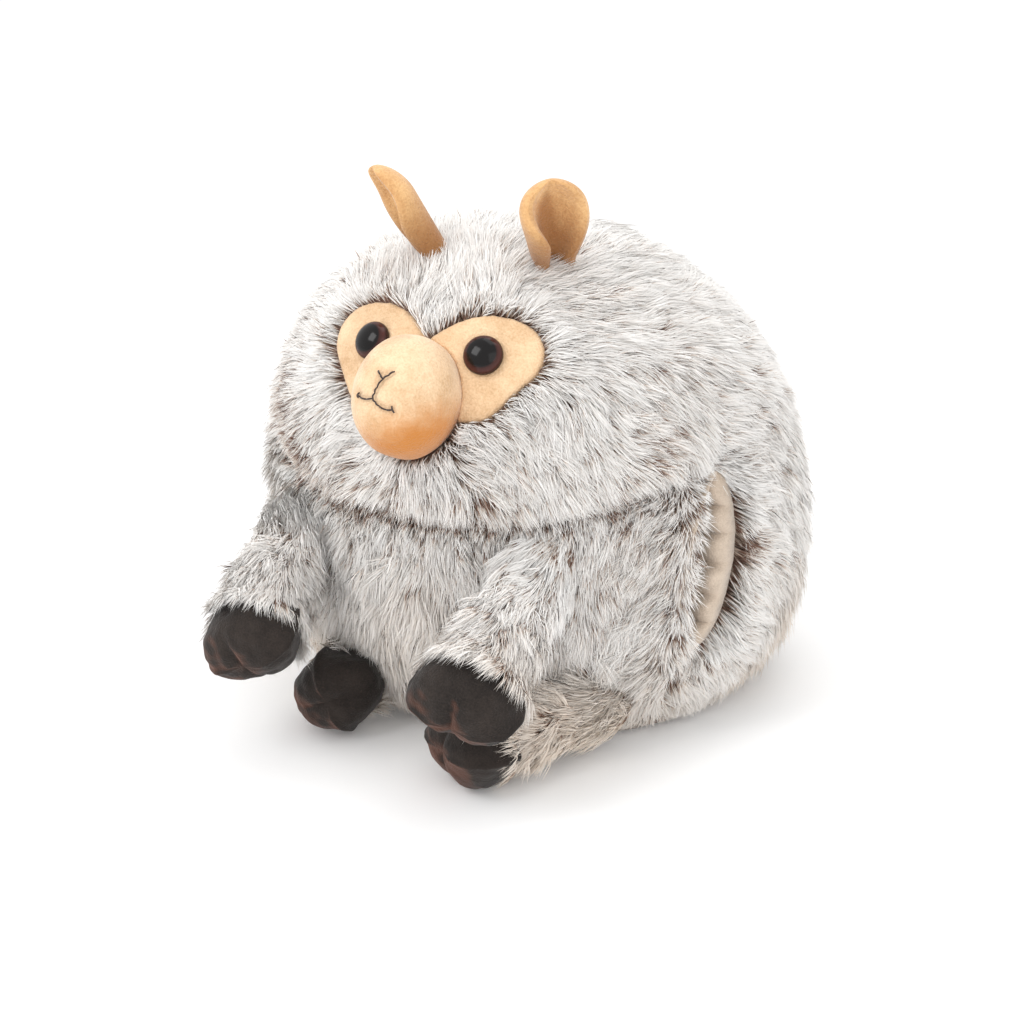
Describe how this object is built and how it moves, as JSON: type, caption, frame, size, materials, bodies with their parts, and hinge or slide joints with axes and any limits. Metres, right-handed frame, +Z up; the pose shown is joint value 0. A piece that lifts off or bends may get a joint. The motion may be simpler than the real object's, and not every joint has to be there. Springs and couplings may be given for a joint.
{
  "type": "plush hand warmer",
  "caption": "Round long-pile plush toy with a lined hand tunnel from side to side, a stuffed muzzle, flap ears and short stuffed limbs with cleft hooves.",
  "frame": {"origin": "centre of the flat patch that the stuffed ball sits on", "axes": "+Z up, the face looks towards -Y, +X towards the left side of the toy"},
  "size_m": [0.296, 0.3468, 0.2817],
  "materials": {
    "pile_fur": "long pile, white tips over a brown middle and a cream root",
    "tan_velour": "short brushed velour",
    "ear_velour": "short brushed velour",
    "hoof_velour": "short brushed velour",
    "lining_cloth": "soft short plush, gathered in pleats",
    "fibre_fill": "loose white fibre",
    "eye_plastic": "polished",
    "washer_plastic": "moulded",
    "dark_thread": "stitched"
  },
  "bodies": {
    "body": {"head_panel": "pile_fur", "belly_panel": "pile_fur", "back_panel_left": "pile_fur", "back_panel_right": "pile_fur", "seat_panel": "pile_fur", "body_stuffing": "fibre_fill", "lining_front": "lining_cloth", "lining_back": "lining_cloth", "eye_patch_left": "tan_velour", "eye_patch_right": "tan_velour", "muzzle_cover": "tan_velour", "muzzle_stuffing": "fibre_fill", "mouth_stitch": "dark_thread", "eye_left": "eye_plastic", "eye_right": "eye_plastic", "eye_washer_left": "washer_plastic", "eye_washer_right": "washer_plastic"},
    "ear_left": {"ear_outer_left": "ear_velour", "ear_inner_left": "ear_velour"},
    "ear_right": {"ear_outer_right": "ear_velour", "ear_inner_right": "ear_velour"},
    "arm_left": {"arm_sleeve_left": "pile_fur", "arm_hoof_left": "hoof_velour", "arm_stuffing_left": "fibre_fill"},
    "arm_right": {"arm_sleeve_right": "pile_fur", "arm_hoof_right": "hoof_velour", "arm_stuffing_right": "fibre_fill"},
    "leg_left": {"leg_sleeve_left": "pile_fur", "leg_hoof_left": "hoof_velour", "leg_stuffing_left": "fibre_fill"},
    "leg_right": {"leg_sleeve_right": "pile_fur", "leg_hoof_right": "hoof_velour", "leg_stuffing_right": "fibre_fill"}
  },
  "joints": [
    {"name": "ear_left_fold", "type": "hinge", "parent": "body", "child": "ear_left", "pos_m": [0.03606, -0.06571, 0.24178], "axis": [0.7915, 0.603, 0.0998], "range_deg": [-25, 35], "stiffness_Nm_per_rad": 0.015},
    {"name": "ear_right_fold", "type": "hinge", "parent": "body", "child": "ear_right", "pos_m": [-0.01903, -0.07525, 0.24178], "axis": [0.761, -0.6486, 0.013], "range_deg": [-25, 35], "stiffness_Nm_per_rad": 0.015},
    {"name": "arm_left_swing", "type": "hinge", "parent": "body", "child": "arm_left", "pos_m": [0.05945, -0.13109, 0.11899], "axis": [-0.9236, -0.3834, 0], "range_deg": [0, 75]},
    {"name": "arm_right_swing", "type": "hinge", "parent": "body", "child": "arm_right", "pos_m": [-0.0796, -0.12089, 0.11899], "axis": [-0.8554, 0.518, 0], "range_deg": [0, 75]},
    {"name": "leg_left_swing", "type": "hinge", "parent": "body", "child": "leg_left", "pos_m": [0.0942, -0.09036, 0.02249], "axis": [0, 0, 1], "range_deg": [0, 12], "stiffness_Nm_per_rad": 0.05},
    {"name": "leg_right_swing", "type": "hinge", "parent": "body", "child": "leg_right", "pos_m": [-0.072, -0.10665, 0.02249], "axis": [0, 0, -1], "range_deg": [0, 12], "stiffness_Nm_per_rad": 0.05}
  ]
}
